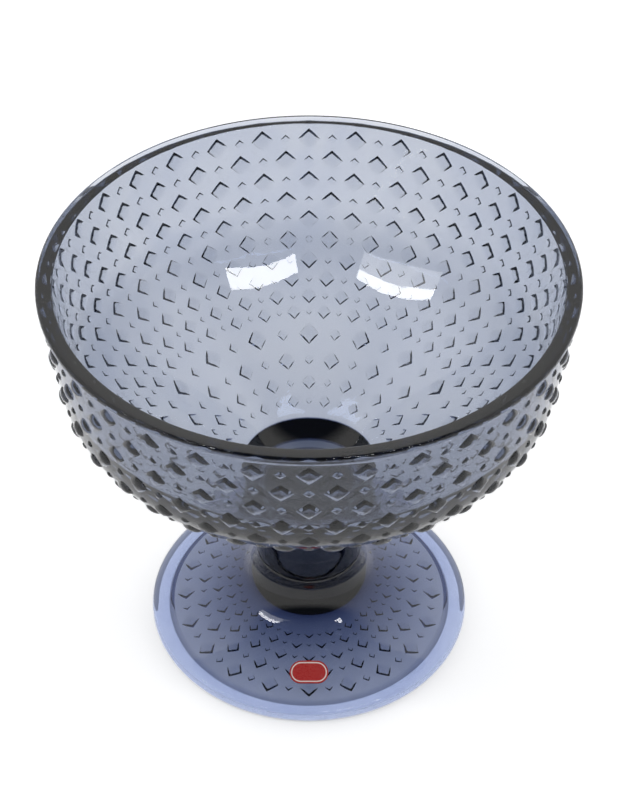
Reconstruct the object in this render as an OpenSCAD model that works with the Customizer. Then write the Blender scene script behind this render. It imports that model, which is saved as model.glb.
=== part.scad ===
// Footed bowl in pressed glass, with a stud relief outside the bowl and under the foot.
// Lengths are in millimetres. Z is up, and the foot stands on the plane z = 0.

/* [Bowl] */
// Diameter over the rim
rim_d = 140; // [134:1:146]
// Height of the plain band at the rim
band_h = 2.5; // [2:0.5:4]
// How far the plain band stands out from the side wall
band_step = 0.8; // [0.6:0.1:1.2]
// Thickness of the side wall without its studs
wall_t = 3.7; // [3.2:0.1:4.4]
// Lean of the side wall from upright, in degrees
wall_lean = 6.8; // [5:0.2:9]
// Height of the side wall from the plain band to the shoulder
side_h = 26; // [22:1:30]
// Outer radius of the shoulder between side wall and floor
shoulder_r = 19.5; // [17:0.5:22]
// Inner radius of that shoulder
inner_shoulder_r = 16; // [13:0.5:18]
// Slope of the floor from level, in degrees
floor_slope = 37.5; // [34:0.5:41]
// Thickness of the floor without its studs
floor_t = 5; // [4.2:0.1:6]
// Radius of the round bottom inside
basin_r = 30; // [24:1:36]
// Rounding of the rim's outer edge
rim_outer_round = 0.6; // [0.4:0.1:1]
// Rounding of the rim's inner edge
rim_inner_round = 0.5; // [0.3:0.1:1]
// Slope of the rim's top towards the inside, in degrees
rim_slope = 8; // [4:1:12]
// Diameter of the upright neck under the floor
neck_d = 39; // [38:1:42]
// Radius of the hollow corner where the floor meets the neck
neck_round = 1.5; // [1:0.5:3]
// Height of the neck's upright side under that corner
neck_h = 8.5; // [6:0.5:10]
// Rounding of the neck's lower edge, from which a hollow curve runs in to the stem
neck_edge_round = 1.5; // [1:0.1:1.8]

/* [Stem] */
// Diameter of the stem
stem_d = 30; // [26:1:34]
// Height of the stem between its two joints
stem_h = 15.5; // [12:0.5:21]

/* [Foot] */
// Diameter of the foot
foot_d = 92.6; // [88:0.2:98]
// Thickness of the foot at its round edge
edge_t = 4.2; // [3.6:0.1:4.8]
// Slope of the foot's top from level at its edge, in degrees
foot_slope = 8; // [5:0.5:11]
// Slope from which the flare takes over, in degrees
turn_slope = 33; // [28:1:38]
// Radius of the flare from the foot to the stem
flare_r = 12; // [9:0.5:14]
// Height of the straight collar over the flare
collar_h = 2; // [1:0.5:4]
// Width of the flat ring that the foot stands on
rest_w = 3.5; // [2.5:0.5:5]
// Depth of the hollow under the foot at its edge
hollow_h = 1.6; // [1.4:0.1:1.9]
// Width of the sloped side of that hollow
hollow_side_w = 1.2; // [0.8:0.1:2]
// Slope of the hollow's roof from level, in degrees
hollow_slope = 9; // [6:0.5:11]
// Radius of the hollow's flat middle
hollow_flat_r = 14; // [11:0.5:16]

/* [Studs] */
// Number of diamond studs in each row of the side wall, an even number
studs_around = 32; // [28:2:36]
// Number of diamond studs in each row under the foot
foot_studs_around = 20; // [16:1:22]
// Height of the studs
stud_h = 1; // [0.7:0.1:1.2]
// Radius inside which a row has half as many studs
half_row_r = 42; // [38:1:46]
// Plain strip between the band and the first row
first_gap = 0.8; // [0.5:0.1:1.5]
// Plain strip between the last row and the neck's corner
last_gap = 1; // [0.5:0.5:3]
// Plain strip between the foot's hollow side and its first row
foot_gap = 0.5; // [0.3:0.1:1]

/* [Label] */
// Length of the blank label on the foot
label_l = 11; // [9:0.5:13]
// Width of the blank label
label_w = 6.5; // [5:0.5:7]
// Thickness of the blank label
label_t = 0.15; // [0.1:0.05:0.3]
// Distance of the label's middle from the foot's edge
label_in = 13; // [11:0.5:14]

/* [Hidden] */
$fn = 96;
// an overrun that all cuts share
over = 1;
// how deep a stud's root sits in the wall
root = 0.8;
// width of a stud over its points, as a share of its square cell
wall_stud_share = 1.04;
floor_stud_share = 0.75;
foot_stud_share = 0.95;
// steps in which the label follows the foot's curve
label_steps = 8;

// ---- the bowl's outer line, as radius and height over the neck's joint ----
stem_r = stem_d / 2;
neck_r = neck_d / 2;
rim_r = rim_d / 2;
// angle below level of the wall's and the floor's outward normals
side_a = wall_lean;
floor_a = 90 - floor_slope;
wall_top_r = rim_r - band_step;
side_foot_r = wall_top_r - side_h * tan(side_a);
// the shoulder's centre, measured down from the band's lower edge
shoulder_cr = side_foot_r - shoulder_r * cos(side_a);
shoulder_cd = side_h - shoulder_r * sin(side_a);
floor_top_r = shoulder_cr + shoulder_r * cos(floor_a);
floor_top_d = shoulder_cd + shoulder_r * sin(floor_a);
// where the floor's line crosses the neck's side, and the hollow corner there
corner_d = floor_top_d + (floor_top_r - neck_r) * tan(floor_slope);
corner_run = neck_round / tan(45 + floor_slope / 2);
// the hollow curve under the neck is a quarter circle, from the stem's side to the neck's lower edge
cove_cr = neck_r - neck_edge_round;
cove_r = cove_cr - stem_r;
neck_side_z = cove_r + neck_edge_round;
bowl_h = band_h + corner_d + corner_run + neck_h + neck_side_z;
wall_top_z = bowl_h - band_h;
neck_cr = neck_r + neck_round;
neck_cz = neck_side_z + neck_h;
neck_end_r = neck_r + corner_run * cos(floor_slope);
neck_end_z = wall_top_z - corner_d + corner_run * sin(floor_slope);

// ---- heights of the joints ----
foot_r = foot_d / 2;
edge_r = edge_t / 2;
foot_flat_r = foot_r - edge_r;
flare_cr = stem_r + flare_r;
// the foot's top is one slow curve from its edge to the point where the flare takes over
turn_r = flare_cr - flare_r * sin(turn_slope);
curve_r = (foot_flat_r - turn_r) / (sin(turn_slope) - sin(foot_slope));
curve_cr = foot_flat_r + curve_r * sin(foot_slope);
curve_cz = edge_t + curve_r * cos(foot_slope);
turn_z = curve_cz - curve_r * cos(turn_slope);
flare_cz = turn_z + flare_r * cos(turn_slope);
foot_h = flare_cz + collar_h;
bowl_z = foot_h + stem_h;

// ---- plane geometry ----
// a unit direction at an angle from level
function dir(a) = [cos(a), sin(a)];
function cross2(a, b) = a[0] * b[1] - a[1] * b[0];
// the point where a line through p along a meets a line through q along b
function meet(p, a, q, b) = p + a * cross2(q - p, b) / cross2(a, b);

// ---- the outer line by its own length s, from the band's lower edge ----
rad = 180 / PI;
side_len = side_h / cos(side_a);
bend_len = shoulder_r * (floor_a - side_a) / rad;
floor_len = (floor_top_r - neck_end_r) / cos(floor_slope);
line_end = side_len + bend_len + floor_len - last_gap;

// angle below level of the outward normal at s
function line_a(s) =
    s < side_len ? side_a : s < side_len + bend_len ? side_a + (s - side_len) / shoulder_r * rad : floor_a;
// radius at s
function line_r(s) =
    s < side_len ? wall_top_r - s * sin(side_a)
    : s < side_len + bend_len ? shoulder_cr + shoulder_r * cos(line_a(s))
    : floor_top_r - (s - side_len - bend_len) * cos(floor_slope);
// height at s
function line_z(s) =
    s < side_len ? wall_top_z - s * cos(side_a)
    : s < side_len + bend_len ? wall_top_z - shoulder_cd - shoulder_r * sin(line_a(s))
    : wall_top_z - floor_top_d - (s - side_len - bend_len) * sin(floor_slope);

// A row of cells is as high as its cells are wide, so the rows close up as the radius falls.
// Edges of the rows from s on, for n studs around, down to the radius r_min
function row_edges(s, n, r_min) =
    let (next = s + PI * line_r(s) / n)
    next > line_end || line_r(next) < r_min ? [s] : concat([s], row_edges(next, n, r_min));
wall_rows = row_edges(first_gap, studs_around, half_row_r);
floor_rows = row_edges(wall_rows[len(wall_rows) - 1], studs_around / 2, neck_r);

// ---- studs ----
// one four-sided stud with its root, on the plane z = 0, a point towards x
module stud(width) {
    translate([0, 0, -root])
        cylinder(h = root + stud_h, d = width, $fn = 4);
}

// rows of studs on the bowl's outer line, n in each, every other row half a step round
module rows(edges, n, share) {
    for (k = [0 : len(edges) - 2]) {
        s = (edges[k] + edges[k + 1]) / 2;
        cell = edges[k + 1] - edges[k];
        for (i = [0 : n - 1])
            rotate([0, 0, (i + (k % 2) / 2) * 360 / n])
                translate([line_r(s), 0, line_z(s)])
                    rotate([0, 90 + line_a(s), 0])
                        stud(cell * share);
    }
}

// ---- bowl ----
// the whole outer form, solid, in the half plane of the radius
module bowl_outside() {
    difference() {
        union() {
            polygon([
                [0, 0],
                [cove_cr, 0],
                [cove_cr, cove_r],
                [neck_r, neck_side_z],
                [neck_r, neck_cz],
                [neck_cr, neck_cz],
                [neck_end_r, neck_end_z],
                [floor_top_r, wall_top_z - floor_top_d],
                [side_foot_r, wall_top_z - side_h],
                [wall_top_r, wall_top_z],
                [rim_r, wall_top_z],
                [rim_r, bowl_h - rim_outer_round],
                [rim_top[0], rim_top[1]],
                [rim_in_top[0], rim_in_top[1]],
                [0, rim_in_top[1]]
            ]);
            translate([cove_cr, neck_side_z])
                circle(r = neck_edge_round);
            translate([shoulder_cr, wall_top_z - shoulder_cd])
                circle(r = shoulder_r);
            translate(rim_out_c)
                circle(r = rim_outer_round);
        }
        translate([cove_cr, 0])
            circle(r = cove_r);
        translate([neck_cr, neck_cz])
            circle(r = neck_round);
    }
}

// the rim's two roundings: their centres, and where the sloped top touches them
rim_up = dir(90 + rim_slope);
rim_out_c = [rim_r - rim_outer_round, bowl_h - rim_outer_round];
rim_top = rim_out_c + rim_outer_round * rim_up;
rim_along = dir(180 + rim_slope);
// the inner wall's line: a point on it at the band's lower edge, and its direction
in_wall = [wall_top_r, wall_top_z] - wall_t * dir(-side_a);
in_wall_dir = dir(-90 - side_a);
rim_in_c = meet(
    rim_top - rim_inner_round * rim_up, rim_along,
    in_wall + rim_inner_round * dir(-side_a), in_wall_dir);
rim_in_top = rim_in_c + rim_inner_round * rim_up;
rim_in_side = rim_in_c - rim_inner_round * dir(-side_a);
// the inner floor's line, the inner shoulder's centre and the basin's centre
in_floor = [floor_top_r, wall_top_z - floor_top_d] - floor_t * dir(-floor_a);
in_floor_dir = dir(180 + floor_slope);
in_shoulder_c = meet(
    in_wall - inner_shoulder_r * dir(-side_a), in_wall_dir,
    in_floor - inner_shoulder_r * dir(-floor_a), in_floor_dir);
basin_c = meet(in_floor - basin_r * dir(-floor_a), in_floor_dir, [0, 0], [0, 1]);
in_shoulder_top = in_shoulder_c + inner_shoulder_r * dir(-side_a);
in_shoulder_end = in_shoulder_c + inner_shoulder_r * dir(-floor_a);
basin_edge = basin_c + basin_r * dir(-floor_a);

// the space inside the bowl, in the half plane of the radius
module bowl_inside() {
    polygon([
        [0, basin_edge[1]],
        basin_edge,
        in_shoulder_end,
        in_shoulder_top,
        rim_in_side,
        rim_in_c,
        rim_in_top,
        rim_in_top + over * rim_up,
        [0, bowl_h + over]
    ]);
    translate(in_shoulder_c)
        circle(r = inner_shoulder_r);
    intersection() {
        translate(basin_c)
            circle(r = basin_r);
        translate([0, basin_c[1] - basin_r - over])
            square([basin_r, basin_r + over]);
    }
}

module bowl_section() {
    difference() {
        bowl_outside();
        bowl_inside();
    }
    // the rounding of the rim's inner edge, which the inside's outline left out
    intersection() {
        translate(rim_in_c)
            circle(r = rim_inner_round);
        polygon([rim_in_c, rim_in_top, rim_in_top + rim_inner_round * rim_along, rim_in_side]);
    }
}

module bowl() {
    color([0.55, 0.58, 0.68])
        translate([0, 0, bowl_z])
            union() {
                rotate_extrude()
                    bowl_section();
                rows(wall_rows, studs_around, wall_stud_share);
                rows(floor_rows, studs_around / 2, floor_stud_share);
            }
}

// ---- stem ----
module stem() {
    color([0.12, 0.13, 0.25])
        translate([0, 0, foot_h])
            cylinder(h = stem_h, d = stem_d);
}

// ---- foot ----
// the foot's top at a radius, on its slow curve
function foot_top_z(r) = curve_cz - sqrt(curve_r * curve_r - (curve_cr - r) * (curve_cr - r));
hollow_out_r = foot_flat_r - rest_w;
hollow_r = hollow_out_r - hollow_side_w;
// the hollow's roof at a radius
function hollow_z(r) = hollow_h + (hollow_r - max(r, hollow_flat_r)) * tan(hollow_slope);

module foot_section() {
    difference() {
        union() {
            polygon([
                [0, 0],
                [foot_flat_r, 0],
                [foot_flat_r, edge_t],
                [turn_r, turn_z],
                [flare_cr, flare_cz],
                [stem_r, flare_cz],
                [stem_r, foot_h],
                [0, foot_h]
            ]);
            translate([foot_flat_r, edge_r])
                circle(r = edge_r);
        }
        translate([flare_cr, flare_cz])
            circle(r = flare_r);
        intersection() {
            translate([curve_cr, curve_cz])
                circle(r = curve_r);
            translate([turn_r, edge_r])
                square([foot_flat_r - turn_r, turn_z]);
        }
        polygon([
            [0, -over],
            [hollow_out_r, -over],
            [hollow_out_r, 0],
            [hollow_r, hollow_h],
            [hollow_flat_r, hollow_z(hollow_flat_r)],
            [0, hollow_z(hollow_flat_r)]
        ]);
    }
}

// edges of the stud rows under the foot, by radius from the outside in
function foot_edges(r) =
    let (next = r - PI * r / foot_studs_around)
    next < hollow_flat_r ? [r] : concat([r], foot_edges(next));
foot_rows = foot_edges(hollow_r - foot_gap);

module foot() {
    color([0.36, 0.39, 0.5])
        union() {
            rotate_extrude()
                foot_section();
            for (k = [0 : len(foot_rows) - 2]) {
                r = (foot_rows[k] + foot_rows[k + 1]) / 2;
                cell = foot_rows[k] - foot_rows[k + 1];
                for (i = [0 : foot_studs_around - 1])
                    rotate([0, 0, (i + (k % 2) / 2) * 360 / foot_studs_around])
                        translate([r, 0, hollow_z(r)])
                            rotate([0, 180 + hollow_slope, 0])
                                stud(cell * foot_stud_share);
            }
        }
}

// ---- label ----
module label() {
    label_r = foot_r - label_in;
    reach = label_w / 2 + over;
    // radii across the label, close enough for it to follow the foot's curve
    across = [for (i = [0 : label_steps]) label_r - reach + 2 * reach * i / label_steps];
    color([0.62, 0.16, 0.15])
        intersection() {
            rotate_extrude()
                polygon(concat(
                    [for (r = across) [r, foot_top_z(r)]],
                    [for (i = [label_steps : -1 : 0]) [across[i], foot_top_z(across[i]) + label_t]]
                ));
            translate([0, -label_r, 0])
                linear_extrude(height = foot_h)
                    union() {
                        square([label_l - label_w, label_w], center = true);
                        for (side = [-1, 1])
                            translate([side * (label_l - label_w) / 2, 0])
                                circle(d = label_w);
                    }
        }
}

bowl();
stem();
foot();
label();
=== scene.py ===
import math

import bpy
from mathutils import Matrix, Vector


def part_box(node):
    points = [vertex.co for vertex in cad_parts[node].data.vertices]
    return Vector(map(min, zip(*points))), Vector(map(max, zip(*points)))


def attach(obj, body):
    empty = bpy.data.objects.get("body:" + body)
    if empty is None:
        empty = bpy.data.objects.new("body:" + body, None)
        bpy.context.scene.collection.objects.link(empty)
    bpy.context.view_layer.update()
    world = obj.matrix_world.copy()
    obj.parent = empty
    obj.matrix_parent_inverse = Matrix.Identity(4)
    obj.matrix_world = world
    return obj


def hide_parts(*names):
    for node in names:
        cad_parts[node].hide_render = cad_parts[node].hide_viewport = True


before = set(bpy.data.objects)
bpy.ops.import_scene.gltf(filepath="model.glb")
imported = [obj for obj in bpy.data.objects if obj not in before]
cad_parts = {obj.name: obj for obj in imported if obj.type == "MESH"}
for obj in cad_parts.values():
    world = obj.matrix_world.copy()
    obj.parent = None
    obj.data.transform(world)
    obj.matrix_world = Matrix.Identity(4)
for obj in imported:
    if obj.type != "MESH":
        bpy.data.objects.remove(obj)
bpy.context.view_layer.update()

bl_info = {
    "name": "Footed pressed-glass bowl",
    "version": (1, 0, 0),
    "blender": (4, 5, 0),
    "location": "View3D > Sidebar > Glass bowl",
    "description": "Models a footed bowl in smoky blue pressed glass with its diamond relief",
    "category": "Object",
}

MM = 0.001
# Heights of the two joints and the rim, and the diameters, as the CAD frame has them
FOOT_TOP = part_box("foot")[1].z
BOWL_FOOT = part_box("bowl")[0].z
RIM_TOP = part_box("bowl")[1].z
RIM_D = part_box("bowl")[1].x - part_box("bowl")[0].x
FOOT_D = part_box("foot")[1].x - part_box("foot")[0].x

# Lengths under this count as nothing
HAIR = 1e-6
# How far a piece that is stuck or melted onto another reaches into it
LAP = 0.02 * MM
# Radius of the inner ring on a turned end face, over the face's own
CORE_SHARE = 0.5

# A relief cell is 2 by 2 units. Each of its sides has this many edges, as the turned parts that
# meet the relief have too.
SIDE_STEPS = 4
# A cell's point is on one of its sides from here on
ON_SIDE = 0.999
# A cell's point this near to its axis is its middle
CENTRED = 1e-4
# The rings of a pressed cushion diamond, from its base up: share of the half diagonal, share of
# the height, and how far it is rounded. Flanks of about 42 degrees run over into a low crown, as
# hot glass leaves the corners of a mould.
CUSHION = [(1, 0, 0.12), (0.8, 0.46, 0.2), (0.54, 0.78, 0.35)]
LOW_CUSHION = [(1, 0, 0.12), (0.66, 0.7, 0.35)]

# The photograph's camera, solved from the ellipses of the bowl's rim and foot: its place, how many
# degrees it looks down, and its lens for a sensor 36 mm wide
CAMERA_AT, CAMERA_DOWN, CAMERA_LENS, SENSOR_W = (0, -0.4128, 0.4567), 42.31, 92.6, 36
# Strip lamps where the photograph's reflections ask for them: both ends, height and radiance
LAMPS = (
    ("softbox right", (0.539, -0.31, 0.96), (0.085, -0.508, 1.023), 0.07, 13),
    ("softbox left", (-0.336, -0.427, 1.014), (-0.751, -0.054, 0.844), 0.035, 11),
    ("fill left", (-0.351, -0.451, 0.998), (-0.766, -0.078, 0.828), 0.1, 3),
)
# The lamps face this point, inside the bowl
LIT = Vector((0, 0, RIM_TOP * 0.6))
# The round floor, and the outer part of it that holds no detail
FLOOR_R, FLOOR_MARGIN = 4, 3
# How much of the floor's white is its own glow, where the eye sees it
FLOOR_GLOW = 0.47
# The room is dim round one direction: full white up to the first cosine, dim from the second
DIM, DIM_WAY, WHITE_TO, DIM_FROM = "#4E5464", (0, -0.469, 0.883), 0.62, 0.8
WHITE = (1, 1, 1, 1)


# ---- what a user would change ----


def length(name, text, default):
    return bpy.props.FloatProperty(
        name=name, description=text, default=default, min=0, unit="LENGTH", subtype="DISTANCE",
        precision=5,
    )


def angle(name, text, degrees):
    return bpy.props.FloatProperty(
        name=name, description=text, default=math.radians(degrees), unit="ROTATION", subtype="ANGLE"
    )


def plain(name, text, default):
    return bpy.props.FloatProperty(name=name, description=text, default=default, min=0)


def count(name, text, default):
    return bpy.props.IntProperty(name=name, description=text, default=default, min=3)


def hexcode(name, text, default):
    return bpy.props.StringProperty(name=name, description=text, default=default, maxlen=7)


class BowlSizes(bpy.types.PropertyGroup):
    rim_d: length("Rim diameter", "Diameter over the rim", RIM_D)
    band_h: length("Band height", "Height of the plain band at the rim", 2.5 * MM)
    band_step: length("Band step", "How far the band stands out from the side wall", 0.8 * MM)
    wall_t: length("Wall thickness", "Thickness of the side wall without its studs", 3.7 * MM)
    wall_lean: angle("Wall lean", "Lean of the side wall from upright", 6.8)
    side_h: length("Side height", "Height of the side wall from band to shoulder", 26 * MM)
    shoulder_r: length("Shoulder radius", "Outer radius of the shoulder", 19.5 * MM)
    inner_curve_r: length(
        "Inner curve", "Radius of the slow curve by which the inner floor steepens", 150 * MM
    )
    inner_curve_turn: angle(
        "Inner curve turn", "How much steeper that curve gets before the shoulder", 6.5
    )
    inner_middle_r: length(
        "Inner middle", "Radius at which the inner floor has its middle slope", 45 * MM
    )
    floor_slope: angle("Floor slope", "Slope of the inner floor from level, at its middle", 37.5)
    outer_slope: angle("Outer floor slope", "Slope of the floor's outside from level", 36)
    floor_t: length("Floor thickness", "Thickness of the floor without its studs", 5 * MM)
    basin_r: length("Basin radius", "Radius of the round bottom inside", 32 * MM)
    low_curve_r: length(
        "Lower curve", "Radius of the curve by which the inner floor flattens to the basin",
        400 * MM,
    )
    low_curve_turn: angle(
        "Lower curve turn", "How much flatter that curve gets before the basin", 2.5
    )
    rim_outer_round: length(
        "Outer rim rounding", "Fire-polished rounding of the rim's outer edge", 0.9 * MM
    )
    rim_inner_round: length(
        "Inner rim rounding", "Fire-polished rounding of the rim's inner edge", 0.6 * MM
    )
    rim_slope: angle("Rim slope", "Slope of the rim's top towards the inside", 8)
    neck_d: length("Neck diameter", "Diameter of the upright neck under the floor", 39 * MM)
    neck_round: length("Neck corner", "Radius of the hollow corner over the neck", 1.5 * MM)
    neck_edge_round: length("Neck edge", "Rounding of the neck's lower edge", 1.5 * MM)
    stem_d: length("Stem diameter", "Diameter of the stem", 30 * MM)


class FootSizes(bpy.types.PropertyGroup):
    foot_d: length("Foot diameter", "Diameter of the foot", FOOT_D)
    edge_t: length("Edge thickness", "Thickness of the foot at its round edge", 4.2 * MM)
    foot_slope: angle("Foot slope", "Slope of the foot's top from level at its edge", 8)
    turn_slope: angle("Turn slope", "Slope from which the flare takes over", 33)
    flare_r: length("Flare radius", "Radius of the flare from foot to stem", 12 * MM)
    rest_w: length("Rest width", "Width of the flat ring that the foot stands on", 3.5 * MM)
    hollow_h: length("Hollow depth", "Depth of the hollow under the foot at its edge", 1.6 * MM)
    hollow_side_w: length("Hollow side", "Width of the hollow's sloped side", 1.2 * MM)
    hollow_slope: angle("Hollow slope", "Slope of the hollow's roof from level", 9)
    hollow_flat_r: length("Hollow middle", "Radius of the hollow's flat middle", 14 * MM)
    label_l: length("Label length", "Length of the blank label", 11 * MM)
    label_w: length("Label width", "Width of the blank label", 6.5 * MM)
    label_in: length("Label inset", "Distance of the label's middle from the foot's edge", 13 * MM)


class ReliefSizes(bpy.types.PropertyGroup):
    around: count("Studs around", "Diamond studs in each row of the side wall", 32)
    foot_around: count("Studs under the foot", "Diamond studs in each row under the foot", 20)
    wall_share: plain(
        "Wall stud size", "Half diagonal of a diamond on the side wall, over half a cell", 0.97
    )
    floor_share: plain(
        "Floor stud size", "Half diagonal of a diamond under the floor, over half a cell", 0.78
    )
    foot_share: plain(
        "Foot stud size", "Half diagonal of a diamond under the foot, over half a cell", 0.94
    )
    small_share: plain(
        "Small stud size", "Half diagonal of a small diamond, over half a cell", 0.44
    )
    stud_rise: plain(
        "Wall stud rise", "Height of a diamond on the side wall, over half a cell", 0.29
    )
    floor_rise: plain(
        "Floor stud rise", "Height of a diamond under the floor, over half a cell", 0.23
    )
    foot_rise: plain("Foot stud rise", "Height of a diamond under the foot, over half a cell", 0.27)
    small_rise: plain("Small stud rise", "Height of a small diamond, over half a cell", 0.14)
    half_row_r: length(
        "Half row radius", "Radius inside which a row has half as many studs", 42 * MM
    )
    first_gap: length("First gap", "Plain strip between the band and the first row", 0.8 * MM)
    last_gap: length("Last gap", "Plain strip between the last row and the neck", 1 * MM)
    foot_gap: length(
        "Foot gap", "Plain strip between the foot's hollow side and its first row", 0.5 * MM
    )


class Looks(bpy.types.PropertyGroup):
    tint: hexcode("Bowl tint", "Colour that the bowl's glass lets through at depth", "#8595B0")
    depth: plain(
        "Bowl depth", "How quickly the bowl's glass darkens with thickness, per metre", 220
    )
    # The foot's and the stem's glass is the bowl's own glass, made darker and bluer here as painted
    # shade: it stands in for the shadowed floor seen through the foot and the dim room round the
    # stem.
    foot_shade_tint: hexcode(
        "Foot tint, painted shade", "Colour that the foot's and the stem's glass let through at depth", "#7993C2"
    )
    foot_shade_depth: plain(
        "Foot depth, painted shade",
        "How quickly the foot's and the stem's glass darken with thickness, per metre", 345,
    )
    label: hexcode("Label colour", "Colour of the blank label", "#B5302B")
    label_line: hexcode("Label line", "Colour of the fine line round the label", "#EFE4DC")
    floor: hexcode("Floor colour", "Colour of the studio floor", "#F4F4F4")


# ---- plane geometry ----


def dir2(a):
    return Vector((math.cos(a), math.sin(a)))


def meet(p, a, q, b):
    """The point where a line through p along a meets a line through q along b."""
    return p + a * ((q - p).cross(b) / a.cross(b))


def arc(centre, radius, start, end, steps):
    """Points on an arc from angle start to angle end, both ends included."""
    return [centre + radius * dir2(start + (end - start) * i / steps) for i in range(steps + 1)]


def line(p, q, steps):
    """Points from p to q, without p."""
    return [p + (q - p) * i / steps for i in range(1, steps + 1)]


class BowlLine:
    """The bowl's outer and inner lines in the half plane of radius and height. They are the CAD
    part's, with a slowly curved inner floor, a bevelled band and fire-polished edges."""

    def __init__(self, b, r):
        self.b = b
        a, slope, floor_a = b.wall_lean, b.outer_slope, math.pi / 2 - b.outer_slope
        self.floor_a = floor_a
        self.stem_r, self.neck_r, self.rim_r = b.stem_d / 2, b.neck_d / 2, b.rim_d / 2
        self.top_r = self.rim_r - b.band_step
        self.top_z = RIM_TOP - b.band_h
        foot_r = self.top_r - b.side_h * math.tan(a)
        bend_r, foot_z = foot_r - b.shoulder_r * math.cos(a), self.top_z - b.side_h
        self.bend = Vector((bend_r, foot_z + b.shoulder_r * math.sin(a)))
        self.floor_top = self.bend + b.shoulder_r * dir2(-floor_a)
        run = b.neck_round / math.tan(math.pi / 4 + slope / 2)
        self.neck_end = Vector((self.neck_r + run * math.cos(slope), 0))
        self.neck_end.y = self.floor_top.y - (self.floor_top.x - self.neck_end.x) * math.tan(slope)
        self.side_len = b.side_h / math.cos(a)
        self.bend_len = b.shoulder_r * (floor_a - a)
        floor_len = (self.floor_top.x - self.neck_end.x) / math.cos(slope)
        self.end = self.side_len + self.bend_len + floor_len
        self.rows = self.edges(r.first_gap, r.around, r.half_row_r, r.last_gap)
        self.floor_rows = self.edges(self.rows[-1], r.around // 2, self.neck_r, r.last_gap)

    def at(self, s):
        """Point and outward normal at the length s from the band's lower edge."""
        a = self.b.wall_lean
        if s < self.side_len:
            return Vector((self.top_r - s * math.sin(a), self.top_z - s * math.cos(a))), dir2(-a)
        if s < self.side_len + self.bend_len:
            t = a + (s - self.side_len) / self.b.shoulder_r
            return self.bend + self.b.shoulder_r * dir2(-t), dir2(-t)
        t = s - self.side_len - self.bend_len
        return self.floor_top - t * dir2(self.b.outer_slope), dir2(-self.floor_a)

    def edges(self, s, n, r_min, last_gap):
        """Edges of the relief's rows from s on, each row as high as its cells are wide."""
        found = [s]
        while True:
            s = s + math.pi * self.at(s)[0].x / n
            if s > self.end - last_gap or self.at(s)[0].x < r_min:
                return found
            found.append(s)

    def rim_and_inside(self):
        """From the first row of relief up over band and rim, then down the inside to the axis."""
        b, a = self.b, self.b.wall_lean
        up = dir2(math.pi / 2 + b.rim_slope)
        along = dir2(math.pi + b.rim_slope)
        # the band's lower edge is a bevel with softened corners
        soft, bevel = 0.12 * MM, b.band_step
        corner = self.at(0)[0]
        points = [self.at(self.rows[0])[0], self.at(2 * soft)[0], corner + Vector((soft, soft))]
        low, high = Vector((bevel - soft, bevel - soft)), Vector((bevel, bevel + soft))
        points += [corner + low, corner + high]
        out_c = Vector((self.rim_r - b.rim_outer_round, RIM_TOP - b.rim_outer_round))
        points += [Vector((self.rim_r, (points[-1].y + out_c.y) / 2))]
        points += arc(out_c, b.rim_outer_round, 0, math.pi / 2 + b.rim_slope, steps=12)
        rim_top = points[-1]
        wall = Vector((self.top_r, self.top_z)) - b.wall_t * dir2(-a)
        under_top, off_wall = rim_top - b.rim_inner_round * up, wall + b.rim_inner_round * dir2(-a)
        in_c = meet(under_top, along, off_wall, dir2(-math.pi / 2 - a))
        points += arc(in_c, b.rim_inner_round, math.pi / 2 + b.rim_slope, math.pi - a, steps=6)
        floor_a = math.pi / 2 - b.floor_slope
        floor = self.bend + (b.shoulder_r - b.floor_t) * dir2(-floor_a)
        # two slow curves touch where the inner floor has its middle slope, and the shoulder touches
        # the upper one and the wall
        off_middle = (b.inner_middle_r - floor.x) / math.cos(b.floor_slope)
        middle = floor + dir2(b.floor_slope) * off_middle
        slow = middle - b.inner_curve_r * dir2(-floor_a)
        turn_a = floor_a - b.inner_curve_turn
        share = math.cos(turn_a - a)
        shoulder_r = ((wall - slow).dot(dir2(-a)) - share * b.inner_curve_r) / (1 - share)
        shoulder = slow + (b.inner_curve_r - shoulder_r) * dir2(-turn_a)
        lower = middle - b.low_curve_r * dir2(-floor_a)
        low_a = floor_a + b.low_curve_turn
        low_end = lower + b.low_curve_r * dir2(-low_a)
        upright = Vector((b.basin_r * math.cos(low_a), 0))
        basin_end = meet(low_end, dir2(math.pi * 1.5 - low_a), upright, Vector((0, 1)))
        basin = basin_end - b.basin_r * dir2(-low_a)
        points += line(points[-1], shoulder + shoulder_r * dir2(-a), steps=7)
        points += arc(shoulder, shoulder_r, -a, -turn_a, steps=14)[1:]
        points += arc(slow, b.inner_curve_r, -turn_a, -floor_a, steps=8)[1:]
        points += arc(lower, b.low_curve_r, -floor_a, -low_a, steps=5)[1:]
        points += line(points[-1], basin_end, steps=3)
        points += arc(basin, b.basin_r, -low_a, -math.pi / 2, steps=14)[1:]
        return points

    def neck(self):
        """From the last row of relief down the neck to the joint, and in to the axis."""
        b = self.b
        corner = self.neck_end + b.neck_round * dir2(-self.floor_a)
        cove = Vector((self.neck_r - b.neck_edge_round, BOWL_FOOT))
        cove_r = cove.x - self.stem_r
        edge = cove + Vector((0, cove_r + b.neck_edge_round))
        points = [self.at(self.floor_rows[-1])[0]]
        points += line(points[0], self.neck_end, steps=2)[:-1]
        points += arc(corner, b.neck_round, math.pi / 2 + b.outer_slope, math.pi, steps=6)
        points += line(points[-1], edge + Vector((b.neck_edge_round, 0)), steps=4)
        points += arc(edge, b.neck_edge_round, 0, -math.pi / 2, steps=6)[1:]
        points += arc(cove, cove_r, math.pi / 2, math.pi, steps=8)[1:]
        return points + [Vector((self.stem_r * CORE_SHARE, BOWL_FOOT)), Vector((0, BOWL_FOOT))]


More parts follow.
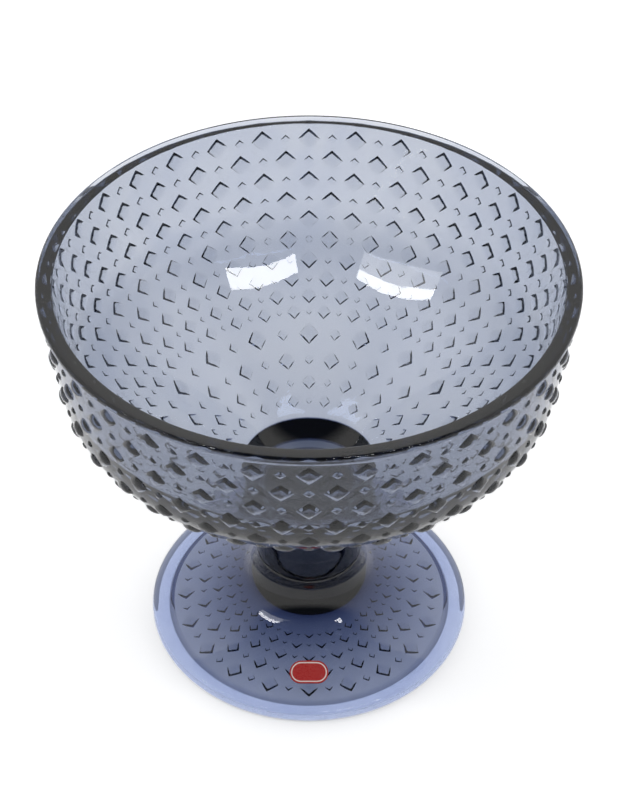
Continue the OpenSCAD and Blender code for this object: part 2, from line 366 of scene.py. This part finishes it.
class FootLine:
    """The foot's line in the half plane of radius and height. It is the CAD part's, with the
    hollow's corners softened."""

    def __init__(self, f, r, stem_r):
        self.f, self.stem_r = f, stem_r
        self.flat_r = f.foot_d / 2 - f.edge_t / 2
        # the foot's top is one slow curve from its edge to the point where the flare takes over
        turn_r = stem_r + f.flare_r * (1 - math.sin(f.turn_slope))
        self.curve_r = (self.flat_r - turn_r) / (math.sin(f.turn_slope) - math.sin(f.foot_slope))
        to_centre = self.curve_r * dir2(math.pi / 2 - f.foot_slope)
        self.curve = Vector((self.flat_r, f.edge_t)) + to_centre
        self.flare = self.curve + (self.curve_r - f.flare_r) * dir2(-math.pi / 2 - f.turn_slope)
        self.hollow_out = self.flat_r - f.rest_w
        self.hollow_r = self.hollow_out - f.hollow_side_w
        self.rows = [self.hollow_r - r.foot_gap]
        while True:
            nxt = self.rows[-1] * (1 - math.pi / r.foot_around)
            if nxt < f.hollow_flat_r:
                break
            self.rows.append(nxt)

    def top_z(self, radius):
        return self.curve.y - math.sqrt(self.curve_r**2 - (self.curve.x - radius) ** 2)

    def roof(self, radius):
        """Point and downward normal of the hollow's roof at a radius."""
        rise = (self.hollow_r - max(radius, self.f.hollow_flat_r)) * math.tan(self.f.hollow_slope)
        normal = Vector((-math.sin(self.f.hollow_slope), -math.cos(self.f.hollow_slope)))
        return Vector((radius, self.f.hollow_h + rise)), normal

    def outside(self):
        """From the joint down the flare, over the foot and round its edge to the relief."""
        f = self.f
        turn_a, edge_a = math.pi * 1.5 - f.turn_slope, math.pi * 1.5 - f.foot_slope
        points = [Vector((share * self.stem_r, FOOT_TOP)) for share in (0, CORE_SHARE, 1)]
        points += line(points[-1], Vector((self.stem_r, self.flare.y)), steps=2)[:-1]
        points += arc(self.flare, f.flare_r, math.pi, turn_a, steps=14)
        points += arc(self.curve, self.curve_r, turn_a, edge_a, steps=14)[1:-1]
        edge = Vector((self.flat_r, f.edge_t / 2))
        points += arc(edge, f.edge_t / 2, math.pi / 2 - f.foot_slope, -math.pi / 2, steps=14)
        # the hollow's side runs over softly into the standing ring and into the roof
        soft, on_ring, on_roof = 0.1 * MM, 0.3 * MM, 0.2 * MM
        points += [Vector((self.hollow_out + on_ring, 0)), Vector((self.hollow_out - soft, soft))]
        points += [Vector((self.hollow_r + soft, f.hollow_h - soft))]
        return points + [self.roof(r)[0] for r in (self.hollow_r - on_roof, self.rows[0])]

    def middle(self):
        """From the last row of relief in to the axis under the foot."""
        flat, inner_share = self.roof(self.f.hollow_flat_r)[0], 0.6
        flats = [Vector((share * flat.x, flat.y)) for share in (1, inner_share, 0)]
        return [self.roof(self.rows[-1])[0]] + flats


# ---- modelling by hand ----


def edit(obj):
    bpy.context.view_layer.objects.active = obj
    bpy.ops.object.mode_set(mode="EDIT")


def done():
    bpy.ops.object.mode_set(mode="OBJECT")
    return bpy.context.object


def pick(obj, kind, test):
    """Selects only the vertices, edges or faces that pass the test. Called in edit mode."""
    bpy.ops.mesh.select_all(action="DESELECT")
    bpy.ops.mesh.select_mode(type={"vertices": "VERT", "edges": "EDGE", "polygons": "FACE"}[kind])
    bpy.ops.object.mode_set(mode="OBJECT")
    for part in getattr(obj.data, kind):
        part.select = bool(test(part))
    bpy.ops.object.mode_set(mode="EDIT")


def turned(name, profile, columns):
    """A profile, drawn point by point, then spun round the axis."""
    bpy.ops.object.select_all(action="DESELECT")
    first = profile[0]
    bpy.ops.mesh.primitive_plane_add(size=MM, location=(0, 0, 0))
    obj = bpy.context.object
    obj.name = name
    edit(obj)
    bpy.ops.mesh.select_mode(type="VERT")
    bpy.ops.mesh.select_all(action="SELECT")
    bpy.ops.mesh.merge(type="CENTER")
    bpy.ops.transform.translate(value=(first.x, 0, first.y))
    for p, q in zip(profile, profile[1:]):
        bpy.ops.mesh.extrude_region_move(
            TRANSFORM_OT_translate={"value": (q.x - p.x, 0, q.y - p.y)}
        )
    bpy.ops.mesh.select_all(action="SELECT")
    bpy.ops.mesh.spin(steps=columns, angle=2 * math.pi, center=(0, 0, 0), axis=(0, 0, 1))
    bpy.ops.mesh.select_all(action="SELECT")
    bpy.ops.mesh.remove_doubles(threshold=HAIR)
    return done()


def diamond(name, half, height, rings):
    """One cell of the relief, 2 by 2 units: a flat square with a raised diamond, its points to the
    sides' middles. rings gives, for each ring from the base up, its share of the half diagonal, its
    share of the height and how far it is rounded."""
    bpy.ops.object.select_all(action="DESELECT")
    bpy.ops.mesh.primitive_circle_add(vertices=4, radius=half, fill_type="NGON")
    obj = bpy.context.object
    obj.name = name
    edit(obj)
    bpy.ops.mesh.select_all(action="SELECT")
    bpy.ops.mesh.subdivide(number_cuts=SIDE_STEPS - 1)
    bpy.ops.mesh.dissolve_faces()
    bpy.ops.transform.tosphere(value=rings[0][2])
    # the rings of the diamond, each drawn in and up from the last
    share, level = 1, 0
    for new_share, new_level, rounding in rings[1:]:
        up = (new_level - level) * height
        bpy.ops.mesh.extrude_region_move(TRANSFORM_OT_translate={"value": (0, 0, up)})
        size = new_share / share
        bpy.ops.transform.resize(value=(size, size, 1), center_override=(0, 0, new_level * height))
        bpy.ops.transform.tosphere(value=rounding)
        share, level = new_share, new_level
    bpy.ops.mesh.poke(offset=0)
    done()
    top = max(v.co.z for v in obj.data.vertices)
    edit(obj)
    # the flat face that the first ring was drawn up from would close the diamond underneath
    pick(obj, "polygons", lambda f: abs(f.center.z) < HAIR)
    bpy.ops.mesh.delete(type="FACE")
    # the crown's middle takes the full height
    pick(obj, "vertices", lambda v: v.co.xy.length < CENTRED)
    bpy.ops.transform.translate(value=(0, 0, height - top))
    # the flat ground round it: the base's edges drawn out to a larger diamond through the cell's
    # corners, then set onto the even places along the cell's sides
    pick(obj, "edges", lambda e: all(abs(obj.data.vertices[i].co.z) < HAIR for i in e.vertices))
    bpy.ops.mesh.extrude_region_move()
    done()
    per_unit = SIDE_STEPS / 2
    for v in [v.co for v in obj.data.vertices if v.select]:
        scale = 2 / (abs(v.x) + abs(v.y))
        places = [round(per_unit * c * scale) / per_unit for c in (v.x, v.y)]
        v.x, v.y = (max(-1, min(1, c)) for c in places)
    # the stud stands on its ground in a crisp line, so the ground round it stays smooth
    edit(obj)
    pick(obj, "edges", lambda e: all(on_ground(obj.data.vertices[i].co) for i in e.vertices))
    bpy.ops.mesh.mark_sharp()
    return done()


def on_ground(p):
    """Whether a cell's point is on the ground, inside the cell's sides."""
    return abs(p.z) < HAIR and max(abs(p.x), abs(p.y)) < ON_SIDE


def drawn(name, points, faces):
    """A new object of these points and faces."""
    mesh = bpy.data.meshes.new(name)
    mesh.from_pydata(points, [], faces)
    obj = bpy.data.objects.new(name, mesh)
    bpy.context.collection.objects.link(obj)
    return obj


def copies(name, cells, place):
    """One mesh with a copy of a modelled cell for each (cell object, where) in cells.
    place(where, point) gives the copy's point."""
    points, faces, crisp = [], [], set()
    shapes = {}
    for cell, where in cells:
        if cell.name not in shapes:
            shapes[cell.name] = (
                [v.co.copy() for v in cell.data.vertices],
                [tuple(p.vertices) for p in cell.data.polygons],
                [tuple(e.vertices) for e in cell.data.edges if e.use_edge_sharp],
            )
        own, own_faces, own_crisp = shapes[cell.name]
        start = len(points)
        points += [place(where, p) for p in own]
        faces += [tuple(start + i for i in f) for f in own_faces]
        crisp |= {frozenset((start + i, start + j)) for i, j in own_crisp}
    obj = drawn(name, points, faces)
    for edge in obj.data.edges:
        edge.use_edge_sharp = frozenset(edge.vertices) in crisp
    return obj


def relief(name, rows, around, line_at, large, small, shift=(0, 0)):
    """Rows of alternating large and small diamonds on a line of revolution, as high as their cells'
    size makes them. line_at gives the point and normal at a row's length, and shift moves the first
    and the last row's outer edge."""
    half_turn = math.pi / around
    cells = []
    for k, (s0, s1) in enumerate(zip(rows, rows[1:])):
        low = s0 + (shift[0] if k == 0 else 0)
        high = s1 + (shift[1] if k == len(rows) - 2 else 0)
        for j in range(2 * around):
            cells.append((large if (j - k) % 2 == 0 else small, (j, s0, s1, low, high)))

    def place(where, p):
        j, s0, s1, low, high = where
        middle, half = (s0 + s1) / 2, (s1 - s0) / 2
        # a cell's sides follow the shifted edges, and the stud inside keeps its size
        on_side = max(abs(p.x), abs(p.y)) > ON_SIDE
        s = low + (p.y + 1) / 2 * (high - low) if on_side else middle + p.y * half
        point, normal = line_at(s)
        point = point + normal * p.z * abs(half)
        turn = (j + p.x / 2) * half_turn
        return Vector((point.x * math.cos(turn), point.x * math.sin(turn), point.y))

    return copies(name, cells, place)


def taper_strip(name, upper, lower, columns):
    """A strip between a ring of columns and a ring of half as many."""
    points, faces, half = [], [], columns // 2
    for p, n in ((upper, columns), (lower, half)):
        for i in range(n):
            t = 2 * math.pi * i / n
            points.append((p.x * math.cos(t), p.x * math.sin(t), p.y))
    for i in range(half):
        a, b, c = 2 * i, 2 * i + 1, (2 * i + 2) % columns
        d, e = columns + (i + 1) % half, columns + i
        faces += [(a, b, e), (b, d, e), (b, c, d)]
    return drawn(name, points, faces)


def fused(name, parts):
    """The parts as one closed piece, with faces outwards and smooth shading."""
    bpy.ops.object.select_all(action="DESELECT")
    for p in parts:
        p.select_set(True)
    bpy.context.view_layer.objects.active = parts[0]
    bpy.ops.object.join()
    obj = bpy.context.object
    obj.name = obj.data.name = name
    edit(obj)
    bpy.ops.mesh.select_all(action="SELECT")
    bpy.ops.mesh.remove_doubles(threshold=2 * HAIR)
    bpy.ops.mesh.normals_make_consistent(inside=False)
    bpy.ops.mesh.select_mode(type="EDGE")
    bpy.ops.mesh.select_all(action="DESELECT")
    bpy.ops.mesh.select_non_manifold()
    done()
    loose = sum(e.select for e in obj.data.edges)
    if loose:
        raise RuntimeError(f"{name} isn't closed: {loose} edges")
    bpy.ops.object.shade_smooth()
    return obj


def remove(*objects):
    for o in objects:
        bpy.data.meshes.remove(o.data)


# ---- materials ----


def linear(code):
    """An sRGB hex colour as linear RGBA, by the sRGB standard's curve."""
    values = [int(code[i : i + 2], 16) / 255 for i in (1, 3, 5)]
    return [v / 12.92 if v <= 0.04045 else ((v + 0.055) / 1.055) ** 2.4 for v in values] + [1]


def add(tree, kind, settings=None, **inputs):
    """Adds a node. settings are its own values, and inputs its sockets, each a value or an output
    to link. A socket goes by its name or, as n1, by its number."""
    made = tree.nodes.new(kind)
    for key, value in (settings or {}).items():
        setattr(made, key, value)
    for key, value in inputs.items():
        by_number = key[0] == "n" and key[1:].isdigit()
        socket = made.inputs[int(key[1:]) if by_number else key.replace("_", " ")]
        if isinstance(value, bpy.types.NodeSocket):
            tree.links.new(value, socket)
        else:
            socket.default_value = value
    return made


def maths(tree, operation, *values):
    """The output of a Math node."""
    inputs = {f"n{i}": value for i, value in enumerate(values)}
    return add(tree, "ShaderNodeMath", {"operation": operation}, **inputs).outputs["Value"]


def ramp(tree, factor, stops):
    """The output of a Color Ramp with these stops, as (place, colour) pairs."""
    made = add(tree, "ShaderNodeValToRGB", Fac=factor)
    band = made.color_ramp
    while len(band.elements) > len(stops):
        band.elements.remove(band.elements[-1])
    while len(band.elements) < len(stops):
        band.elements.new(1)
    for element, (place, colour) in zip(band.elements, stops):
        element.position = place
        element.color = colour
    return made.outputs["Color"]


def material(name):
    made = bpy.data.materials.new(name)
    made.use_nodes = True
    made.node_tree.nodes.clear()
    return made, made.node_tree, made.node_tree.nodes.new("ShaderNodeOutputMaterial")


def pressed_glass(name, tint, density, waviness):
    """Soda-lime glass, coloured through, pressed in an iron mould and fire-polished: clear depth, a
    bright mirror-like gloss, and a faint unevenness that lets the reflections swim."""
    made, tree, out = material(name)
    where = add(tree, "ShaderNodeTexCoord").outputs["Object"]
    # slow unevenness of fire-polished glass, about 9 mm from crest to crest, and over it an eighth
    # as much of the mould's finer orange peel, 1.6 mm
    slow = add(
        tree, "ShaderNodeTexNoise", Vector=where, Scale=1 / (9 * MM), Detail=1.5, Roughness=0.45
    )
    fine = add(
        tree, "ShaderNodeTexNoise", Vector=where, Scale=1 / (1.6 * MM), Detail=2, Roughness=0.5
    )
    both = maths(tree, "MULTIPLY_ADD", fine.outputs["Fac"], 0.12, slow.outputs["Fac"])
    bump = add(tree, "ShaderNodeBump", Strength=1, Distance=waviness, Height=both)
    # fine handling haze: the gloss is a little softer in cloudy patches about 20 mm wide
    cloud = add(
        tree, "ShaderNodeTexNoise", Vector=where, Scale=1 / (20 * MM), Detail=4, Roughness=0.6
    )
    haze = add(
        tree, "ShaderNodeMapRange", Value=cloud.outputs["Fac"], From_Min=0.35, From_Max=0.75,
        To_Min=0.004, To_Max=0.03,
    )
    # faint cords in the melt, paler and deeper streaks about 25 mm apart
    cords = add(
        tree, "ShaderNodeTexNoise", Vector=where, Scale=1 / (25 * MM), Detail=2, Distortion=1.2
    )
    tone = ramp(tree, cords.outputs["Fac"], [(0.3, linear("#F3F5FA")), (0.7, linear("#FFFFFF"))])
    glass = add(
        tree, "ShaderNodeBsdfPrincipled", Base_Color=tone, Roughness=haze.outputs["Result"],
        IOR=1.51, Transmission_Weight=1, Normal=bump.outputs["Normal"],
    )
    depth = add(tree, "ShaderNodeVolumeAbsorption", Color=linear(tint), Density=density)
    tree.links.new(glass.outputs["BSDF"], out.inputs["Surface"])
    tree.links.new(depth.outputs["Volume"], out.inputs["Volume"])
    return made


def printed_label(looks, half_l, half_w, middle_r):
    """Coated paper under a clear gloss film, printed one colour, with a fine pale line round it."""
    made, tree, out = material("coated paper label, gloss film")
    where = add(tree, "ShaderNodeTexCoord").outputs["Object"]
    move = add(tree, "ShaderNodeMapping", Vector=where, Location=(0, middle_r, 0)).outputs["Vector"]
    xyz = add(tree, "ShaderNodeSeparateXYZ", Vector=move)
    # a point's distance from the label's middle line, which is half_w at the label's edge
    over = maths(tree, "SUBTRACT", maths(tree, "ABSOLUTE", xyz.outputs["X"]), half_l - half_w)
    side = maths(tree, "MAXIMUM", over, 0.0)
    flat = add(tree, "ShaderNodeCombineXYZ", X=side, Y=xyz.outputs["Y"])
    far = add(tree, "ShaderNodeVectorMath", {"operation": "LENGTH"}, n0=flat.outputs["Vector"])
    # the ink lies a little paler on the paper's finest grain, 0.35 mm
    grain = add(tree, "ShaderNodeTexNoise", Vector=where, Scale=1 / (0.35 * MM), Detail=3)
    red, paler = linear(looks.label), 1.1
    ink = ramp(tree, grain.outputs["Fac"], [(0.3, red), (0.7, [c * paler for c in red[:3]] + [1])])
    # the line runs between these two distances from the label's edge
    line_from, line_to = 0.42 * MM, 0.75 * MM
    inside = maths(tree, "GREATER_THAN", far.outputs["Value"], half_w - line_to)
    outside = maths(tree, "LESS_THAN", far.outputs["Value"], half_w - line_from)
    on_line = maths(tree, "MULTIPLY", inside, outside)
    pale = linear(looks.label_line)
    colour = add(tree, "ShaderNodeMix", {"data_type": "RGBA"}, Factor=on_line, n6=ink, n7=pale)
    bump = add(
        tree, "ShaderNodeBump", Strength=0.4, Distance=0.02 * MM, Height=grain.outputs["Fac"]
    )
    rough = add(tree, "ShaderNodeMapRange", Value=grain.outputs["Fac"], To_Min=0.22, To_Max=0.34)
    film = add(
        tree, "ShaderNodeBsdfPrincipled", Base_Color=colour.outputs[2],
        Roughness=rough.outputs["Result"], IOR=1.49, Coat_Weight=0.5, Coat_Roughness=0.12,
        Normal=bump.outputs["Normal"],
    )
    tree.links.new(film.outputs["BSDF"], out.inputs["Surface"])
    return made


# ---- the pieces ----


def wear(piece, finish):
    """Gives a piece one material all over."""
    piece.data.materials.clear()
    piece.data.materials.append(finish)


class MakeBowl(bpy.types.Operator):
    """Models the bowl: rim band, diamond relief outside, smooth inside and neck, all in one"""

    bl_idname = "glass_bowl.make_bowl"
    bl_label = "Bowl"

    def execute(self, context):
        scene = context.scene
        sizes, studs, looks = scene.bowl_sizes, scene.relief_sizes, scene.bowl_looks
        outline = BowlLine(sizes, studs)
        # a row has a large and a small cell for each stud, and under the floor half as many
        fine, coarse = 2 * studs.around * SIDE_STEPS, studs.around * SIDE_STEPS
        large = diamond("large diamond", studs.wall_share, studs.stud_rise, CUSHION)
        small = diamond("small diamond", studs.small_share, studs.small_rise, LOW_CUSHION)
        wide = diamond("floor diamond", studs.floor_share, studs.floor_rise, CUSHION)
        gap, seam, at = 0.15 * MM, outline.rows[-1], outline.at
        upper = relief("side relief", outline.rows, studs.around, at, large, small, (0, -gap))
        lower = relief(
            "floor relief", outline.floor_rows, studs.around // 2, at, wide, small, (gap, 0)
        )
        strip = taper_strip("strip", at(seam - gap)[0], at(seam + gap)[0], fine)
        rim = turned("rim and inside", outline.rim_and_inside(), fine)
        neck = turned("neck", outline.neck(), coarse)
        bowl = fused("bowl_glass", [rim, upper, strip, lower, neck])
        remove(large, small, wide)
        name, waviness = "pressed soda-lime glass, bowl", 0.02 * MM
        wear(bowl, pressed_glass(name, looks.tint, looks.depth, waviness))
        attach(bowl, "root")
        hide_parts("bowl")
        return {"FINISHED"}


class MakeStem(bpy.types.Operator):
    """Models the solid stem between the bowl and the foot"""

    bl_idname = "glass_bowl.make_stem"
    bl_label = "Stem"

    def execute(self, context):
        sizes, looks = context.scene.bowl_sizes, context.scene.bowl_looks
        radius, steps, columns = sizes.stem_d / 2, 16, 128
        # the stem's ends reach a hair into bowl and foot, so that light passes from glass to glass
        low, high = FOOT_TOP - LAP, BOWL_FOOT + LAP
        # it has a faint waist, and its ends lie a hair inside the flare and the neck
        waist, inside = 0.25 * MM, 0.01 * MM
        profile = [Vector((0, low)), Vector((radius * CORE_SHARE, low))]
        for i in range(steps + 1):
            inset = waist * math.sin(math.pi * i / steps) + inside
            profile.append(Vector((radius - inset, low + (high - low) * i / steps)))
        profile += [Vector((radius * CORE_SHARE, high)), Vector((0, high))]
        stem = fused("stem_glass", [turned("stem", profile, columns)])
        # The stem wears the darker, bluer foot glass, which is painted shade for the dim room round
        # it.
        name, waviness = "pressed soda-lime glass, stem", 0.03 * MM
        wear(stem, pressed_glass(name, looks.foot_shade_tint, looks.foot_shade_depth, waviness))
        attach(stem, "root")
        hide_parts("stem")
        return {"FINISHED"}


class MakeFoot(bpy.types.Operator):
    """Models the foot: flare, slow curve, round edge, standing ring, and hollow with its relief"""

    bl_idname = "glass_bowl.make_foot"
    bl_label = "Foot"

    def execute(self, context):
        scene = context.scene
        sizes, studs, looks = scene.foot_sizes, scene.relief_sizes, scene.bowl_looks
        outline = FootLine(sizes, studs, scene.bowl_sizes.stem_d / 2)
        columns = 2 * studs.foot_around * SIDE_STEPS
        large = diamond("foot diamond", studs.foot_share, studs.foot_rise, CUSHION)
        small = diamond("small foot diamond", studs.small_share, studs.small_rise, LOW_CUSHION)
        # the rows are counted by radius from the outside in
        under = relief("foot relief", outline.rows, studs.foot_around, outline.roof, large, small)
        top = turned("foot outside", outline.outside(), columns)
        middle = turned("foot middle", outline.middle(), columns)
        foot = fused("foot_glass", [top, under, middle])
        remove(large, small)
        # The foot's glass is made darker and bluer than the bowl's as painted shade for the
        # shadowed floor seen through it.
        name, waviness = "pressed soda-lime glass, foot", 0.02 * MM
        wear(foot, pressed_glass(name, looks.foot_shade_tint, looks.foot_shade_depth, waviness))
        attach(foot, "root")
        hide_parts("foot")
        return {"FINISHED"}


class MakeLabel(bpy.types.Operator):
    """Models the blank stick-on label, curved to the foot's top"""

    bl_idname = "glass_bowl.make_label"
    bl_label = "Label"

    def execute(self, context):
        scene = context.scene
        sizes, studs, looks = scene.foot_sizes, scene.relief_sizes, scene.bowl_looks
        outline = FootLine(sizes, studs, scene.bowl_sizes.stem_d / 2)
        middle_r = sizes.foot_d / 2 - sizes.label_in
        half_l, half_w = sizes.label_l / 2, sizes.label_w / 2
        bpy.ops.object.select_all(action="DESELECT")
        bpy.ops.mesh.primitive_circle_add(vertices=64, radius=half_w, fill_type="NGON")
        label = bpy.context.object
        label.name = label.data.name = "label_paper"
        # the circle's two halves are drawn apart to a rounded strip
        for side in (-1, 1):
            edit(label)
            pick(label, "vertices", lambda v: v.co.x * side > HAIR)
            bpy.ops.transform.translate(value=(side * (half_l - half_w), 0, 0))
            done()
        edit(label)
        bpy.ops.mesh.select_all(action="SELECT")
        ring_shares = (0.93, 0.55)
        for share in ring_shares:
            bpy.ops.mesh.extrude_region_move()
            bpy.ops.transform.resize(value=(share, share, 1), center_override=(0, 0, 0))
        bpy.ops.mesh.poke()
        bpy.ops.mesh.select_all(action="SELECT")
        bpy.ops.mesh.remove_doubles(threshold=HAIR / 10)
        # laid on the foot's slope, its underside a hair in the glass
        done()
        thick = 0.13 * MM
        for v in label.data.vertices:
            v.co.y -= middle_r
            v.co.z = outline.top_z(v.co.xy.length) - LAP
        edit(label)
        bpy.ops.mesh.select_all(action="SELECT")
        bpy.ops.mesh.normals_make_consistent(inside=False)
        bpy.ops.mesh.extrude_region_move(TRANSFORM_OT_translate={"value": (0, 0, thick + LAP)})
        bpy.ops.mesh.select_all(action="SELECT")
        bpy.ops.mesh.normals_make_consistent(inside=False)
        done()
        bpy.ops.object.shade_smooth_by_angle(angle=math.radians(40))
        wear(label, printed_label(looks, half_l, half_w, middle_r))
        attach(label, "root")
        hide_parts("label")
        return {"FINISHED"}


# ---- the studio ----


def softbox(name, start, end, height, radiance):
    """A strip lamp from end to end that faces the bowl and that the camera doesn't see."""
    start, end = Vector(start), Vector(end)
    data = bpy.data.lights.new(name, "AREA")
    data.shape = "RECTANGLE"
    data.size, data.size_y = (end - start).length, height
    data.energy = radiance * math.pi * data.size * data.size_y
    lamp = bpy.data.objects.new(name, data)
    bpy.context.collection.objects.link(lamp)
    lamp.location = (start + end) / 2
    # its own X runs along the strip, and its back points away from the bowl
    along = (end - start).normalized()
    back = (lamp.location - LIT).normalized()
    side = back.cross(along).normalized()
    lamp.rotation_euler = Matrix((along, side, along.cross(side))).transposed().to_euler()
    lamp.visible_camera = False


class MakeStudio(bpy.types.Operator):
    """Sets up the camera, the pale floor, the softboxes and the world"""

    bl_idname = "glass_bowl.make_studio"
    bl_label = "Studio"

    def execute(self, context):
        scene = context.scene
        scene.view_settings.view_transform = "Standard"
        data = bpy.data.cameras.new("camera")
        data.lens, data.sensor_width = CAMERA_LENS, SENSOR_W
        data.clip_start, data.clip_end = 0.01, 50
        camera = bpy.data.objects.new("camera", data)
        context.collection.objects.link(camera)
        camera.location = CAMERA_AT
        camera.rotation_euler = (math.radians(90 - CAMERA_DOWN), 0, 0)
        scene.camera = camera

        bpy.ops.object.select_all(action="DESELECT")
        bpy.ops.mesh.primitive_circle_add(vertices=64, radius=FLOOR_R, fill_type="NGON")
        floor = context.object
        floor.name = "studio_floor"
        edit(floor)
        bpy.ops.mesh.select_all(action="SELECT")
        bpy.ops.mesh.inset(thickness=FLOOR_MARGIN)
        done()
        made, tree, out = material("matt white sweep")
        path = add(tree, "ShaderNodeLightPath")
        seen = maths(tree, "MAXIMUM", path.outputs["Is Camera Ray"], path.outputs["Is Glossy Ray"])
        seen = maths(tree, "MAXIMUM", seen, path.outputs["Is Transmission Ray"])
        # seen by the eye it is a white of which the shadow takes a part
        paint = add(tree, "ShaderNodeBsdfDiffuse", Color=linear(scene.bowl_looks.floor))
        lift = maths(tree, "MULTIPLY", seen, FLOOR_GLOW)
        glow = add(tree, "ShaderNodeEmission", Color=WHITE, Strength=lift)
        both = add(tree, "ShaderNodeAddShader", n0=paint.outputs[0], n1=glow.outputs[0])
        tree.links.new(both.outputs[0], out.inputs["Surface"])
        floor.data.materials.append(made)

        world = bpy.data.worlds.new("studio")
        scene.world = world
        world.use_nodes = True
        tree = world.node_tree
        tree.nodes.clear()
        out = tree.nodes.new("ShaderNodeOutputWorld")
        path = add(tree, "ShaderNodeLightPath")
        way = add(tree, "ShaderNodeTexCoord").outputs["Generated"]
        # the sweep goes up white all round, and the room over it and over the camera is dim
        near = add(tree, "ShaderNodeVectorMath", {"operation": "DOT_PRODUCT"}, n0=way, n1=DIM_WAY)
        stops = [(0.0, WHITE), (WHITE_TO, WHITE), (DIM_FROM, linear(DIM))]
        room = ramp(tree, near.outputs["Value"], stops)
        around = add(tree, "ShaderNodeBackground", Color=room, Strength=1).outputs[0]
        white = add(tree, "ShaderNodeBackground", Color=WHITE, Strength=1).outputs[0]
        mix = add(
            tree, "ShaderNodeMixShader", Fac=path.outputs["Is Camera Ray"], n1=around, n2=white
        )
        tree.links.new(mix.outputs[0], out.inputs["Surface"])

        for lamp in LAMPS:
            softbox(*lamp)
        # light passes both walls and the foot, so rays may go on for longer than usual
        scene.cycles.max_bounces = 32
        scene.cycles.transmission_bounces = 32
        scene.cycles.glossy_bounces = 16
        return {"FINISHED"}


class BowlPanel(bpy.types.Panel):
    bl_idname = "VIEW3D_PT_glass_bowl"
    bl_label = "Glass bowl"
    bl_space_type = "VIEW_3D"
    bl_region_type = "UI"
    bl_category = "Glass bowl"

    def draw(self, context):
        for operator in OPERATORS:
            self.layout.operator(operator.bl_idname)
        for group in GROUPS:
            box = self.layout.box()
            values = getattr(context.scene, group)
            for key in values.bl_rna.properties.keys():
                if key not in ("rna_type", "name"):
                    box.prop(values, key)


GROUPS = {
    "bowl_sizes": BowlSizes, "foot_sizes": FootSizes, "relief_sizes": ReliefSizes,
    "bowl_looks": Looks,
}
OPERATORS = (MakeBowl, MakeStem, MakeFoot, MakeLabel, MakeStudio)


def register():
    for cls in (*GROUPS.values(), *OPERATORS, BowlPanel):
        bpy.utils.register_class(cls)
    for name, cls in GROUPS.items():
        setattr(bpy.types.Scene, name, bpy.props.PointerProperty(type=cls))


def unregister():
    for name in GROUPS:
        delattr(bpy.types.Scene, name)
    for cls in reversed((*GROUPS.values(), *OPERATORS, BowlPanel)):
        bpy.utils.unregister_class(cls)


def main():
    register()
    bpy.ops.glass_bowl.make_bowl()
    bpy.ops.glass_bowl.make_stem()
    bpy.ops.glass_bowl.make_foot()
    bpy.ops.glass_bowl.make_label()
    bpy.ops.glass_bowl.make_studio()


if __name__ == "__main__":
    main()
